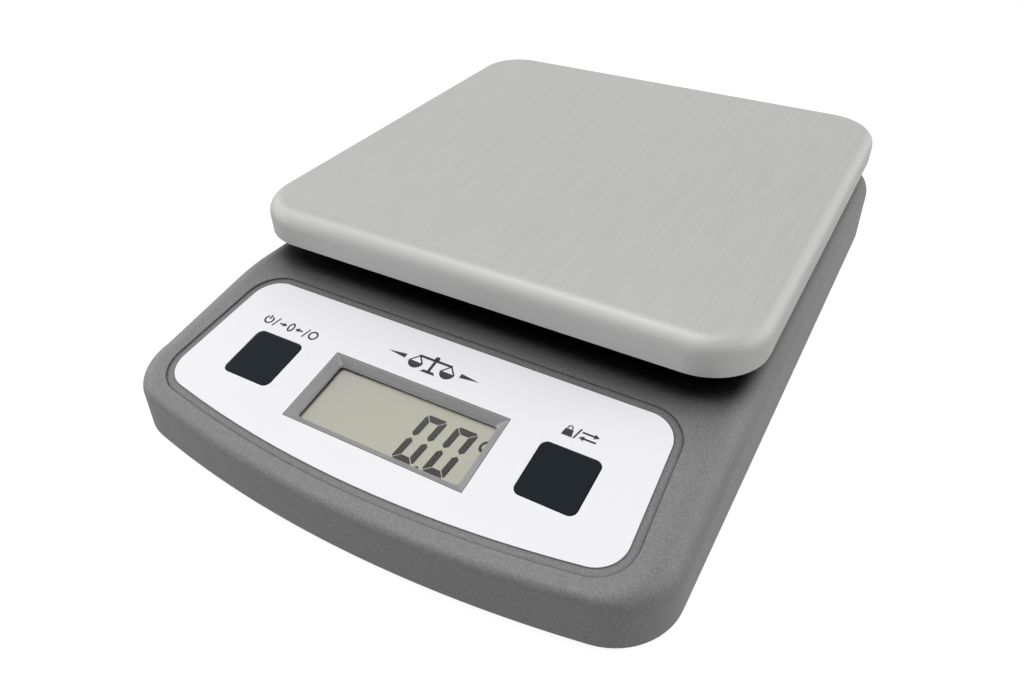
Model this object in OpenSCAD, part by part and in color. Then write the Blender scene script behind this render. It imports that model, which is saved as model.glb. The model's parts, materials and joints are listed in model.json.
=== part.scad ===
// Compact digital scale: upper and lower shell, sloped control panel, bending-beam load cell,
// platform support and a lift-off pressed steel platter.
// +Z up, +X right, +Y back. The origin is on the rest plane under the middle of the shell.

/* [Shell] */
// Width of the upper shell at its bottom edge
body_w = 167.6; // [164:0.1:172]
// Length from the foremost point of the curved front to the rear edge
body_l = 237; // [235:0.1:240]
// Height of the flat deck above the rest plane
deck_z = 29.4; // [29:0.1:30]
// Gap that the feet leave under the shell
foot_h = 3; // [2.5:0.1:3.5]
// Radius of the curved front edge
front_r = 361; // [320:1:400]
// Radius of the shell's corners, seen from above
corner_r = 19; // [18:0.1:20]
// Wall thickness of both shells
wall = 2.2; // [2:0.1:2.4]
// How far the walls lean in from bottom to top
wall_draft = 0.4; // [0.2:0.1:1]
// Fold radius between front wall and panel
front_fold_r = 2.5; // [2:0.5:4]
// Shoulder radius along the sides and the rear
side_fold_r = 8.5; // [7:0.5:9]

/* [Panel] */
// Slope of the control panel
panel_tilt = 10.6; // [9:0.1:12]
// Distance from the middle of the shell forward to the line through the key centres
panel_y = -87; // [-88:0.1:-86]
// Height of the panel surface on that line
panel_z = 23.65; // [23:0.05:24]
// Depth of the recess that the label lies in
label_recess = 0.5; // [0.4:0.1:0.7]
// Thickness of the printed label
label_t = 0.3; // [0.2:0.1:0.3]
// Bare band between label and recess wall
label_gap = 2.4; // [1.5:0.1:3]
// Side of the square keys
key_w = 16.6; // [15:0.1:17]
// Distance from the middle to each key's centre
key_x = 47.4; // [46:0.1:48]
// Travel of the keys
key_travel = 0.35; // [0.2:0.05:0.4]

/* [Display] */
// Outer width of the bezel
bezel_w = 56.6; // [56:0.1:57.5]
// Outer height of the bezel, along the panel
bezel_h = 24.1; // [23.8:0.1:25]
// Width of the clear opening in the bezel
window_w = 51.4; // [50:0.1:52]
// Height of the clear opening in the bezel
window_h = 19.2; // [18:0.1:20]

/* [Platter] */
// Width of the platter
platter_w = 163; // [160:1:166]
// Length of the platter, front to back
platter_l = 162; // [160:1:165]
// Height of the weighing surface above the rest plane
platter_z = 48.5; // [47.8:0.1:49]
// Height of the platter's skirt
skirt_h = 10.8; // [9:0.1:11]
// Sheet thickness
sheet_t = 0.8; // [0.6:0.1:1]
// Corner radius, seen from above
platter_r = 17.5; // [16:0.5:19]
// Bend radius of the top edge
platter_bend_r = 5; // [3:0.5:6]
// Distance of the pressed line from the edge
line_inset = 7.8; // [7:0.1:9]

/* [Load cell] */
// Length of the bending beam
beam_l = 80; // [78:1:82]
// Square section of the bending beam
beam_s = 12.7; // [12:0.1:13]
// Travel of the platform at the overload stop
load_travel = 0.6; // [0.4:0.1:0.6]

/* [Hidden] */
$fn = 64;
eps = 0.01;

// Outline of the shell: centres shared by all of its parallel offsets
half_w = body_w / 2;
front_y = -body_l / 2;
rear_y = body_l / 2;
arc_cy = front_y + front_r;
corner_cx = half_w - corner_r;
corner_cy = arc_cy - sqrt(pow(front_r - corner_r, 2) - pow(corner_cx, 2));
rear_cy = rear_y - corner_r;
arc_half = asin(corner_cx / (front_r - corner_r));
// Samples in half of the front arc, in a corner and across the bend between panel and deck
arc_n = 10;
corner_n = 9;
bend_n = 6;
bend_half = 6;

shell_z = foot_h;
slope = tan(panel_tilt);
bend_y = panel_y + (deck_z - panel_z) / slope;
skin_drop = wall / cos(panel_tilt);
edge_r = 1.2;

cover_gap = 0.4;
cover_t = 2.4;
cover_top = shell_z + cover_t;
// The lip stands further in than the plate, clear of the leaning wall
lip_gap = 0.5;
lip_t = 1.8;
lip_h = 3.6;

boss_z = 9;
boss_r = 3.5;
boss_places = [for (s = [-1, 1], p = [[74.5, -92], [74.5, 8], [70, 104]]) [s * p[0], p[1]]];
screw_seat = 6.5;
pilot_top = 18;

foot_r = 7;
foot_pocket = 1.2;
foot_places = [for (s = [-1, 1], p = [[61, -84], [58, 94]]) [s * p[0], p[1]]];

// Levels along the panel's outward normal, from its surface
label_top = label_t - label_recess;
skin_under = -wall;
bezel_step = -2.1;
window_top = -2.4;
window_t = 0.6;
lcd_top = -3.1;
glass_t = 0.8;
bezel_under = -4.2;
board_top = -8.6;
board_t = 1.6;
board_under = board_top - board_t;
display_v = -1.65;
display_gap = 0.2;
pane_w = 54.4;
pane_h = 22;
flange_w = 61.4;
flange_h = 30.4;
// The glass reaches further up than the opening, so that its contacts stay hidden
lcd_v = display_v + 1.3;
lcd_w = 54.2;
lcd_h = 25;
fit_gap = 0.4;
ledge = 2.4;
strip_w = 2;
strip_l = 50;
strip_v = lcd_v + (lcd_h - ledge) / 2;
board_w = 132;
board_v0 = -17;
board_v1 = 19;
post_places = [for (s = [-1, 1], v = [-13, 15]) [s * 62, v]];
post_r = 3;
key_gap = 0.2;
key_flange = 18.6;
flange_t = 1;
stem_low = -4.6;
switch_w = 6;
switch_top = -5.1;
plunger_r = 1.6;
plunger_low = -6.3;
connector_x = 40;
connector_v = 12;
connector_h = 5;
connector_w = 10;
connector_d = 5;

// Load path
cell_y = 28.3;
plate_t = 1.5;
plate_w = 92;
plate_l = 36;
spacer_t = 3;
spacer_l = 26;
beam_z = cover_top + plate_t + spacer_t;
beam_top = beam_z + beam_s;
beam_end = beam_l / 2;
cell_holes = [beam_end - 20, beam_end - 5];
cell_screw_r = 2;
hub_x = 27.5;
gauge_r = 4.9;
gauge_x = 7.5;
stop_x = 30;
stop_gap = load_travel + 0.05;

hub_z = beam_top + spacer_t;
hub_floor = 3.4;
hub_w = 27;
hub_l = 16;
support_z = 41;
support_t = 2.5;
rib_h = 3.2;
support_w = 144;
support_l = 142;
pad_x = 58;
pad_y = 57;
pad_r = 5;
pad_seat_z = 44;
pad_boss_z = 45;
rim_z = platter_z - skirt_h;

// Battery box
box_y = 80;
door_axis_x = -27.5;
door_x1 = 32.2;
door_half = 15;
door_gap = 0.2;
door_r = cover_t / 2;
door_axis_z = shell_z + door_r;
ledge_z = cover_top + 0.05;
box_x0 = -26.3;
box_x1 = 31;
box_half = 14.2;
box_top = 23.6;
box_wall = 2.2;
hinge_pin_r = 0.7;
battery_l = 46.4;
battery_w = 26.2;
battery_t = 17.2;
battery_z = cover_top + 0.2;
battery_x0 = -26;
battery_x1 = battery_x0 + battery_l;
snap_t = 4.4;
stud_y = 6.4;
wire_r = 0.8;
cable_r = 1.3;

// ---- Outlines ----

// Points on a circle arc, ends included
function arc(c, r, a0, a1, n) =
    [for (i = [0:n]) let (a = a0 + (a1 - a0) * i / n) [c[0] + r * cos(a), c[1] + r * sin(a)]];

// A right-hand chain of points closed by its mirror image
function mirrored(chain) =
    concat(chain, [for (i = [len(chain) - 1:-1:0]) [-chain[i][0], chain[i][1]]]);

// Rounded rectangle about the origin
function rounded(w, l, r, n = 6) = [
    for (q = [[1, -1, -90], [1, 1, 0], [-1, 1, 90], [-1, -1, 180]])
        each arc([q[0] * (w / 2 - r), q[1] * (l / 2 - r)], r, q[2], q[2] + 90, n)
];

// Right half of the shell's outline, moved inward by d at each sample, front to rear.
// Each sample is [x, y, fold radius there].
function half_outline(d) = concat(
    [for (i = [0:arc_n - 1]) let (a = (i + 0.5) * arc_half / arc_n)
        [(front_r - d) * sin(a), arc_cy - (front_r - d) * cos(a), front_fold_r]],
    [for (i = [0:corner_n]) let (t = i / corner_n, a = arc_half - 90 + t * (90 - arc_half))
        [corner_cx + (corner_r - d) * cos(a), corner_cy + (corner_r - d) * sin(a),
         front_fold_r + t * (side_fold_r - front_fold_r)]],
    [for (i = [0:bend_n])
        [half_w - d, bend_y - bend_half + 2 * bend_half * i / bend_n, side_fold_r]],
    [for (i = [0:corner_n]) let (a = 90 * i / corner_n)
        [corner_cx + (corner_r - d) * cos(a), rear_cy + (corner_r - d) * sin(a), side_fold_r]]
);

function outline(d) = mirrored([for (p = half_outline(d)) [p[0], p[1]]]);

// Height of the upper surface: sloped panel, a parabolic bend, then the flat deck
function top_z(y) =
    y > bend_y + bend_half ? deck_z :
    y < bend_y - bend_half ? deck_z + slope * (y - bend_y) :
    deck_z - slope * pow(bend_y + bend_half - y, 2) / (4 * bend_half);

// Label outline grown by g: curved bottom edge, splayed sides, straight top
label_arc_r = 352;
label_bottom = -23.7;
label_top_v = 27.5;
label_side_a = 3.24;
label_side_d = 69.6;
label_r = 8.5;
function label_outline(g) =
    let (
        n = [cos(label_side_a), sin(label_side_a)],
        t = [-n[1], n[0]],
        o = [0, label_bottom + label_arc_r],
        s = label_side_d - label_r,
        low = n * s + t * (t * o - sqrt(pow(label_arc_r - label_r, 2) - pow(s - n * o, 2))),
        high_v = label_top_v - label_r,
        high = [(s - n[1] * high_v) / n[0], high_v],
        a1 = atan2(low[1] - o[1], low[0] - o[0])
    )
    mirrored(concat(
        arc(o, label_arc_r + g, -90 + 0.5, a1, 12),
        arc(low, label_r + g, a1, label_side_a, 8),
        arc(high, label_r + g, label_side_a, 90, 8)
    ));

// ---- General modules ----

// Stacked closed rings of points joined into one solid; each ring is symmetric about X = 0
module ring_solid(rings) {
    n = len(rings[0]);
    half = n / 2;
    last = (len(rings) - 1) * n;
    polyhedron(
        points = [for (ring = rings) each ring],
        faces = concat(
            [for (j = [0:len(rings) - 2], i = [0:n - 1])
                let (a = j * n + i, b = j * n + (i + 1) % n)
                each [[a, a + n, b + n], [a, b + n, b]]],
            [for (k = [0:half - 2]) each [
                [last + k, last + n - 1 - k, last + n - 2 - k],
                [last + k, last + n - 2 - k, last + k + 1]]],
            [for (k = [0:half - 2]) each [
                [k, n - 2 - k, n - 1 - k],
                [k, k + 1, n - 2 - k]]]
        )
    );
}

module on_panel() {
    translate([0, panel_y, panel_z]) rotate([panel_tilt, 0, 0]) children();
}

// Slab between two levels
module slab(points, z0, z1) {
    translate([0, 0, z0]) linear_extrude(z1 - z0) polygon(points);
}

// Box centred in x and y between two levels
module block(w, l, z0, z1) {
    translate([-w / 2, -l / 2, z0]) cube([w, l, z1 - z0]);
}

module rod(r, z0, z1) {
    translate([0, 0, z0]) cylinder(r = r, h = z1 - z0);
}

// Rounded bar through the points of a path
module wire(path, r) {
    for (i = [0:len(path) - 2]) hull() for (p = [path[i], path[i + 1]])
        translate(p) sphere(r = r, $fn = 12);
}

module at_each(places) {
    for (p = places) translate([p[0], p[1], 0]) children();
}

// Cross recess in a screw head whose face is at z = 0, cut towards +Z
module cross_recess(size, depth) {
    for (a = [0, 90]) rotate([0, 0, a]) block(size, size / 4, -eps, depth);
}

// ---- Shells ----

// Shell solid moved inward by d, with its upper surface lowered by drop
module shell_solid(d, drop, z0) {
    steps = 6;
    function ring(inset, level) = let (half = half_outline(d + inset))
        mirrored3([for (p = half) [p[0], p[1], level < 0 ? z0 - level - 1 : level]]);
    function mirrored3(c) =
        concat(c, [for (i = [len(c) - 1:-1:0]) [-c[i][0], c[i][1], c[i][2]]]);
    function fold_ring(t) = let (base = half_outline(0), a = 90 * t / steps)
        mirrored3([for (k = [0:len(base) - 1])
            let (
                r = max(base[k][2] - d, 0.8),
                q = half_outline(d + wall_draft + r * (1 - cos(a)))[k]
            ) [q[0], q[1], top_z(q[1]) - drop - r * (1 - sin(a))]]);
    foot_rings = d == 0
        ? [ring(edge_r, z0), ring(edge_r * 0.29, z0 + edge_r * 0.29), ring(0, z0 + edge_r)]
        : [ring(0, z0)];
    ring_solid(concat(foot_rings, [for (t = [0:steps]) fold_ring(t)]));
}

module top_housing() {
    color("dimgray")
    difference() {
        union() {
            difference() {
                shell_solid(0, 0, shell_z);
                shell_solid(wall, skin_drop, shell_z - 1);
            }
            for (p = boss_places) translate([p[0], p[1], 0])
                rod(boss_r, boss_z, top_z(p[1]) - skin_drop + 1);
            on_panel() at_each(post_places) rod(post_r, board_top, skin_under + 0.8);
        }
        at_each(boss_places) rod(1.5, boss_z - 1, pilot_top);
        on_panel() {
            slab(label_outline(label_gap), -label_recess, 5);
            at_each(post_places) rod(0.95, board_top - 1, -3);
            translate([0, display_v, 0])
                block(bezel_w + 2 * display_gap, bezel_h + 2 * display_gap, -5, 1);
            for (s = [-1, 1]) translate([s * key_x, 0, 0])
                slab(rounded(key_w + 2 * key_gap, key_w + 2 * key_gap, 2.2), -5, 1);
        }
        // Opening for the hub of the platform support
        translate([hub_x, cell_y, 0])
            slab(rounded(hub_w + 7, hub_l + 7, 3), deck_z - 6, deck_z + 1);
    }
}

module bottom_cover() {
    inset = wall + cover_gap;
    box_w = box_x1 - box_x0 + 2 * box_wall;
    box_cx = (box_x0 + box_x1) / 2;
    color("#3c3e41")
    difference() {
        union() {
            slab(outline(inset), shell_z, cover_top);
            difference() {
                slab(outline(inset + lip_gap), shell_z + 1, cover_top + lip_h);
                slab(outline(inset + lip_gap + lip_t), shell_z, cover_top + lip_h + 1);
            }
            at_each(boss_places) rod(4.5, cover_top - 1, boss_z);
            translate([box_cx, box_y, 0])
                block(box_w, 2 * (box_half + box_wall), shell_z + 1, box_top + 1.6);
            // Stiffening ribs
            for (s = [-1, 1]) translate([s * 66, 0, 0]) block(1.6, 150, shell_z + 1, 6.8);
            for (y = [-60, -30]) translate([0, y, 0]) block(140, 1.6, shell_z + 1, 6.8);
        }
        at_each(boss_places) {
            rod(3.1, shell_z - 1, screw_seat);
            rod(1.7, shell_z, boss_z + 1);
        }
        at_each(foot_places) rod(foot_r + 0.2, shell_z - 1, shell_z + foot_pocket);
        // Countersunk holes of the beam screws
        for (x = cell_holes) translate([-x, cell_y, 0]) {
            translate([0, 0, shell_z]) cylinder(r1 = 4.1, r2 = 2.2, h = 2);
            rod(2.2, shell_z + 1, cover_top + 1);
        }
        // Inside of the battery box, the door's seat, hinge holes and the wire slot
        translate([box_cx, box_y, 0])
            block(box_x1 - box_x0, 2 * box_half, shell_z - 1, box_top);
        translate([(door_axis_x - door_r + door_x1) / 2, box_y, 0])
            block(door_x1 - door_axis_x + door_r + 2 * door_gap, 2 * (door_half + door_gap),
                shell_z - 1, ledge_z);
        translate([door_axis_x, box_y, door_axis_z]) rotate([90, 0, 0])
            cylinder(r = hinge_pin_r + 0.05, h = 2 * (door_half + 1.4), center = true);
        translate([box_x1 + box_wall / 2, box_y, 0]) block(box_wall + 1, 9, 10, 14);
        // Finger notch beside the latch
        translate([door_x1 + 2, box_y, 0]) block(7, 14, shell_z - 1, shell_z + 1.4);
    }
}

module battery_door() {
    len_x = door_x1 - door_axis_x;
    color("#3c3e41")
    difference() {
        union() {
            translate([door_axis_x + len_x / 2, box_y, 0])
                block(len_x, 2 * door_half, shell_z, cover_top);
            translate([door_axis_x, box_y, door_axis_z]) rotate([90, 0, 0]) {
                cylinder(r = door_r, h = 2 * door_half, center = true);
                cylinder(r = hinge_pin_r, h = 2 * (door_half + 1.2), center = true);
            }
            // Latch arm
            translate([29.8, box_y, 0]) block(1.2, 10, cover_top - 0.5, 11);
        }
        // Grip grooves
        for (i = [0:3]) translate([door_x1 - 5 - 2.4 * i, box_y, 0])
            block(1, 16, shell_z - 1, shell_z + 0.5);
    }
}

module housing_screws() {
    color("silver")
    at_each(boss_places) difference() {
        union() {
            rod(2.8, screw_seat - 2.2, screw_seat);
            rod(1.45, screw_seat - 1, pilot_top - 1);
        }
        translate([0, 0, screw_seat - 2.2]) cross_recess(3.2, 1.2);
    }
}

module rubber_feet() {
    color("#202020")
    at_each(foot_places) {
        cylinder(r1 = foot_r - 0.8, r2 = foot_r, h = 0.8);
        rod(foot_r, 0.8, shell_z + foot_pocket);
    }
}

// ---- Panel ----

module control_label() {
    color("white")
    on_panel() difference() {
        slab(label_outline(0), -label_recess, label_top);
        translate([0, display_v, 0])
            block(bezel_w + 2 * display_gap, bezel_h + 2 * display_gap, -2, 1);
        for (s = [-1, 1]) translate([s * key_x, 0, 0])
            slab(rounded(key_w + 2 * key_gap, key_w + 2 * key_gap, 2.2), -2, 1);
    }
}

// Four-sided funnel between two rectangles, cut downward from z1 to z0
module funnel(w0, l0, z0, w1, l1, z1) {
    hull() {
        block(w0, l0, z0, z0 + eps);
        block(w1, l1, z1, z1 + eps);
    }
}

module display_bezel() {
    land = 0.3;
    pane_gap = 0.2;
    color("gray")
    on_panel() difference() {
        union() {
            translate([0, display_v, 0]) block(bezel_w, bezel_h, bezel_under, label_top);
            translate([0, lcd_v, 0]) block(flange_w, flange_h, bezel_under, skin_under);
        }
        translate([0, display_v, 0]) {
            block(window_w, window_h, bezel_under - 1, 1);
            funnel(window_w, window_h, bezel_step,
                bezel_w - 2 * land, bezel_h - 2 * land, label_top);
            block(pane_w + pane_gap, pane_h + pane_gap, lcd_top, window_top);
        }
        translate([0, lcd_v, 0])
            block(lcd_w + fit_gap, lcd_h + fit_gap, bezel_under - 1, lcd_top + 0.05);
    }
}

module display_window() {
    color("#d8dcdc", 0.4)
    on_panel() translate([0, display_v, 0])
        block(pane_w, pane_h, window_top - window_t, window_top);
}

module lcd_panel() {
    mid = lcd_top - glass_t;
    color("#bebcac")
    on_panel() translate([0, lcd_v, 0]) {
        block(lcd_w, lcd_h, mid, lcd_top);
        translate([0, -ledge / 2, 0]) block(lcd_w, lcd_h - ledge, mid - glass_t, mid);
    }
}

module lcd_holder() {
    shelf = lcd_top - 2 * glass_t;
    color("white")
    on_panel() difference() {
        translate([0, lcd_v, 0]) block(flange_w, flange_h, board_top, bezel_under);
        translate([0, lcd_v, 0]) block(lcd_w + fit_gap, lcd_h + fit_gap, shelf, 0);
        // Slot of the connector strip, and the hollow below the shelf
        translate([0, strip_v, 0])
            block(strip_l + fit_gap, strip_w + fit_gap, board_top - 1, 0);
        translate([0, display_v, 0]) block(lcd_w - 6, 14, board_top - 1, shelf - 1.2);
    }
}

module elastomer_connector() {
    color("#e08aa0")
    on_panel() translate([0, strip_v, 0])
        block(strip_l, strip_w, board_top, lcd_top - glass_t);
}

module main_board() {
    color("#1f6b3a")
    on_panel() difference() {
        translate([0, (board_v0 + board_v1) / 2, 0])
            slab(rounded(board_w, board_v1 - board_v0, 2), board_under, board_top);
        at_each(post_places) rod(1.1, board_under - 1, board_top + 1);
    }
}

module controller_chip() {
    color("#1a1a1c")
    on_panel() translate([0, -2, 0]) block(12, 12, board_under - 1.6, board_under);
}

module board_components() {
    color("#8a7a50")
    on_panel() {
        for (s = [-1, 1]) translate([s * connector_x, connector_v, 0])
            block(connector_w, connector_d, board_under - connector_h, board_under);
        // Crystal and electrolytic capacitor
        translate([13, 4, 0]) slab(rounded(10, 4, 1.9), board_under - 3.4, board_under);
        translate([-16, 6, 0]) rod(2.5, board_under - 5, board_under);
        // Two rows of small resistors
        for (i = [0:5], v = [-9, -12]) translate([10 + 3.6 * i, v, 0])
            block(2, 1.2, board_under - 0.6, board_under);
    }
}

module board_screws() {
    color("silver")
    on_panel() at_each(post_places) difference() {
        union() {
            rod(2, board_under - 1.4, board_under);
            rod(0.9, board_under - 0.5, -4);
        }
        translate([0, 0, board_under - 1.4]) cross_recess(2.4, 0.8);
    }
}

module key_switches() {
    color("#303236")
    on_panel() for (s = [-1, 1]) translate([s * key_x, 0, 0]) difference() {
        block(switch_w, switch_w, board_top, switch_top);
        rod(plunger_r + 0.05, plunger_low - key_travel - 0.3, 0);
    }
}

module key_cap(x) {
    on_panel() translate([x, 0, 0]) {
        slab(rounded(key_w, key_w, 2), skin_under - flange_t, label_top);
        block(key_flange, key_flange, skin_under - flange_t, skin_under);
        rod(2, stem_low, skin_under - flange_t + 0.5);
    }
}

module plunger(x) {
    on_panel() translate([x, 0, 0]) rod(plunger_r, plunger_low, stem_low);
}

module tare_key() { color("#232a30") key_cap(-key_x); }

module unit_key() { color("#232a30") key_cap(key_x); }

module tare_plunger() { color("#b0b4b8") plunger(-key_x); }

module unit_plunger() { color("#b0b4b8") plunger(key_x); }

// ---- Load path ----

module stiffening_plate() {
    color("lightsteelblue")
    translate([0, cell_y, 0]) difference() {
        slab(rounded(plate_w, plate_l, 3), cover_top, cover_top + plate_t);
        for (x = cell_holes) translate([-x, 0, 0]) rod(2.2, 0, cover_top + 5);
        translate([stop_x, 0, 0]) rod(cell_screw_r + 0.05, 0, cover_top + 5);
    }
}

module lower_spacer() {
    color("gray")
    translate([0, cell_y, 0]) difference() {
        translate([-beam_end + spacer_l / 2, 0, 0])
            block(spacer_l, beam_s, cover_top + plate_t, beam_z);
        for (x = cell_holes) translate([-x, 0, 0]) rod(2.2, 0, beam_z + 1);
    }
}

module upper_spacer() {
    color("gray")
    translate([0, cell_y, 0]) difference() {
        translate([beam_end - spacer_l / 2, 0, 0]) block(spacer_l, beam_s, beam_top, hub_z);
        for (x = cell_holes) translate([x, 0, 0]) rod(2.2, beam_top - 1, hub_z + 1);
    }
}

module load_cell() {
    color("lightgray")
    translate([0, cell_y, 0]) difference() {
        block(beam_l, beam_s, beam_z, beam_top);
        // The double hole that makes the thin bending zones
        translate([0, 0, beam_z + beam_s / 2]) {
            for (s = [-1, 1]) translate([s * gauge_x, 0, 0]) rotate([90, 0, 0])
                cylinder(r = gauge_r, h = beam_s + 2, center = true);
            cube([2 * gauge_x, beam_s + 2, 3], center = true);
        }
        for (x = cell_holes) {
            translate([-x, 0, 0]) rod(cell_screw_r + 0.05, beam_z - 1, beam_z + 8);
            translate([x, 0, 0]) rod(cell_screw_r + 0.05, beam_top - 9, beam_top + 1);
        }
    }
}

module gauge_coating() {
    color("white")
    translate([0, cell_y, 0]) {
        slab(rounded(25, 11, 2), beam_top, beam_top + 0.8);
        slab(rounded(25, 11, 2), beam_z - 0.8, beam_z);
    }
}

module lower_cell_screws() {
    color("silver")
    for (x = cell_holes) translate([-x, cell_y, 0]) difference() {
        union() {
            translate([0, 0, shell_z + 0.1]) cylinder(r1 = 3.9, r2 = 2, h = 1.9);
            rod(cell_screw_r, shell_z + 1, beam_z + 7);
        }
        translate([0, 0, shell_z + 0.1]) cross_recess(4, 1.4);
    }
}

module upper_cell_screws() {
    seat = hub_z + hub_floor;
    color("silver")
    for (x = cell_holes) translate([x, cell_y, 0]) difference() {
        union() {
            rod(3.5, seat, seat + 2.4);
            rod(cell_screw_r, beam_top - 8, seat + 1);
        }
        translate([0, 0, seat + 2.4]) mirror([0, 0, 1]) cross_recess(4, 1.6);
    }
}

module overload_stop() {
    color("dimgray")
    translate([stop_x, cell_y, 0]) rod(cell_screw_r, cover_top, beam_z - stop_gap);
}

module stop_nut() {
    color("silver")
    translate([stop_x, cell_y, 0]) difference() {
        translate([0, 0, cover_top + plate_t]) cylinder(r = 4.04, h = 1.8, $fn = 6);
        rod(cell_screw_r + 0.05, 0, beam_z);
    }
}

module load_cell_cable() {
    y0 = cell_y - beam_s / 2 - cable_r - 0.1;
    end = panel_point(-connector_x, connector_v + connector_d / 2, board_under - 2.5);
    color("#d0d0d0")
    wire([
        [-15, y0, beam_z + 3], [-34, y0, beam_z + 2], [-52, 4, 8.4], [-52, -50, 8.4],
        [end[0], end[1] + 6, end[2] - 2], end + [0, cable_r, 0]
    ], cable_r);
}

// A point in panel coordinates, given in the part's frame
function panel_point(u, v, w) = [
    u,
    panel_y + v * cos(panel_tilt) - w * sin(panel_tilt),
    panel_z + v * sin(panel_tilt) + w * cos(panel_tilt)
];

module platform_support() {
    seat = hub_z + hub_floor;
    arm_w = 14;
    arm_a = atan2(pad_y, pad_x);
    color("#2c2e30")
    difference() {
        union() {
            translate([0, cell_y, 0]) {
                // Outer frame
                difference() {
                    slab(rounded(support_w, support_l, 12), support_z, support_z + support_t);
                    slab(rounded(support_w - 24, support_l - 24, 6),
                        support_z - 1, support_z + support_t + 1);
                }
                // Diagonal arms with ribs under them, and the middle plate
                for (s = [-1, 1]) rotate([0, 0, s * arm_a]) {
                    block(2 * norm([pad_x, pad_y]), arm_w, support_z, support_z + support_t);
                    block(2 * norm([pad_x, pad_y]) - 20, 2, support_z - rib_h, support_z + 1);
                }
                slab(rounded(92, 44, 6), support_z, support_z + support_t);
                for (sx = [-1, 1], sy = [-1, 1]) translate([sx * pad_x, sy * pad_y, 0])
                    rod(pad_r + 1.6, support_z, pad_boss_z);
            }
            // Hub on the free end of the beam
            translate([hub_x, cell_y, 0]) block(hub_w, hub_l, hub_z, support_z + 1);
        }
        for (x = cell_holes) translate([x, cell_y, 0]) {
            rod(2.2, hub_z - 1, seat + 1);
            rod(4.2, seat, support_z + 10);
        }
        for (sx = [-1, 1], sy = [-1, 1]) translate([sx * pad_x, cell_y + sy * pad_y, 0])
            rod(pad_r + 0.1, pad_seat_z, pad_boss_z + 1);
    }
}

module platter_pads() {
    color("#e8e8e4")
    for (sx = [-1, 1], sy = [-1, 1]) translate([sx * pad_x, cell_y + sy * pad_y, 0])
        rod(pad_r, pad_seat_z, platter_z - sheet_t);
}

// Section of the platter's edge, x outward from the corner centre, y up
module platter_section() {
    groove = platter_r - line_inset;
    c = [platter_r - platter_bend_r, platter_z - platter_bend_r];
    polygon(concat(
        [[0, platter_z - sheet_t]],
        arc(c, platter_bend_r - sheet_t, 90, 0, 8),
        [[platter_r - sheet_t, rim_z], [platter_r, rim_z]],
        arc(c, platter_bend_r, 0, 90, 8),
        [[groove + 0.4, platter_z], [groove + 0.15, platter_z - 0.2],
         [groove - 0.15, platter_z - 0.2], [groove - 0.4, platter_z], [0, platter_z]]
    ));
}

module weighing_platter() {
    in_w = platter_w - 2 * platter_r;
    in_l = platter_l - 2 * platter_r;
    color("silver")
    translate([0, cell_y, 0]) {
        for (a = [0, 90, 180, 270]) {
            sx = (a == 0 || a == 270) ? 1 : -1;
            sy = (a == 0 || a == 90) ? 1 : -1;
            translate([sx * in_w / 2, sy * in_l / 2, 0]) rotate([0, 0, a])
                rotate_extrude(angle = 90) platter_section();
        }
        for (s = [0, 180]) {
            rotate([0, 0, s]) translate([in_w / 2, in_l / 2, 0])
                rotate([90, 0, 0]) linear_extrude(in_l) platter_section();
            rotate([0, 0, s + 90]) translate([in_l / 2, in_w / 2, 0])
                rotate([90, 0, 0]) linear_extrude(in_w) platter_section();
        }
        block(in_w, in_l, platter_z - sheet_t, platter_z);
    }
}

// ---- Battery ----

module battery() {
    color("#70757a")
    translate([0, box_y, 0]) {
        translate([battery_x0, 0, battery_z + battery_t / 2]) rotate([0, 90, 0])
            linear_extrude(battery_l) polygon(rounded(battery_t, battery_w, 1.5));
        for (s = [-1, 1])
            translate([battery_x1, s * stud_y, battery_z + battery_t / 2]) rotate([0, 90, 0])
                cylinder(r = s < 0 ? 2.9 : 4, h = 2.4);
    }
}

module battery_snap() {
    x0 = battery_x1 + 0.05;
    color("#18181a")
    translate([0, box_y, battery_z + battery_t / 2]) difference() {
        translate([x0, 0, 0]) rotate([0, 90, 0])
            linear_extrude(snap_t) polygon(rounded(12.6, 25.6, 2));
        for (s = [-1, 1]) translate([x0 - 1, s * stud_y, 0]) rotate([0, 90, 0])
            cylinder(r = (s < 0 ? 2.9 : 4) + 0.1, h = 3.6);
    }
}

module battery_wires() {
    x0 = battery_x1 + 0.05 + snap_t;
    color("firebrick")
    for (s = [-1, 1]) {
        end = panel_point(connector_x + 2 * s, connector_v + connector_d / 2,
            board_under - 2.5);
        wire([
            [x0 + wire_r, box_y + 2 * s, 12], [box_x1 + 4, box_y + 2 * s, 12],
            [54 + 2 * s, box_y - 12, 8.2], [54 + 2 * s, -50, 8.2],
            [end[0], end[1] + 6, end[2] - 2], end + [0, wire_r, 0]
        ], wire_r);
    }
}

top_housing();
bottom_cover();
control_label();
display_bezel();
display_window();
lcd_panel();
lcd_holder();
elastomer_connector();
main_board();
controller_chip();
board_components();
key_switches();
tare_key();
unit_key();
tare_plunger();
unit_plunger();
board_screws();
load_cell();
gauge_coating();
load_cell_cable();
lower_spacer();
upper_spacer();
lower_cell_screws();
upper_cell_screws();
stiffening_plate();
overload_stop();
stop_nut();
platform_support();
platter_pads();
weighing_platter();
battery_door();
battery();
battery_snap();
battery_wires();
housing_screws();
rubber_feet();
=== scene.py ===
import functools
import json
import math

import bmesh
import bpy
from mathutils import Matrix, Vector


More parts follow.
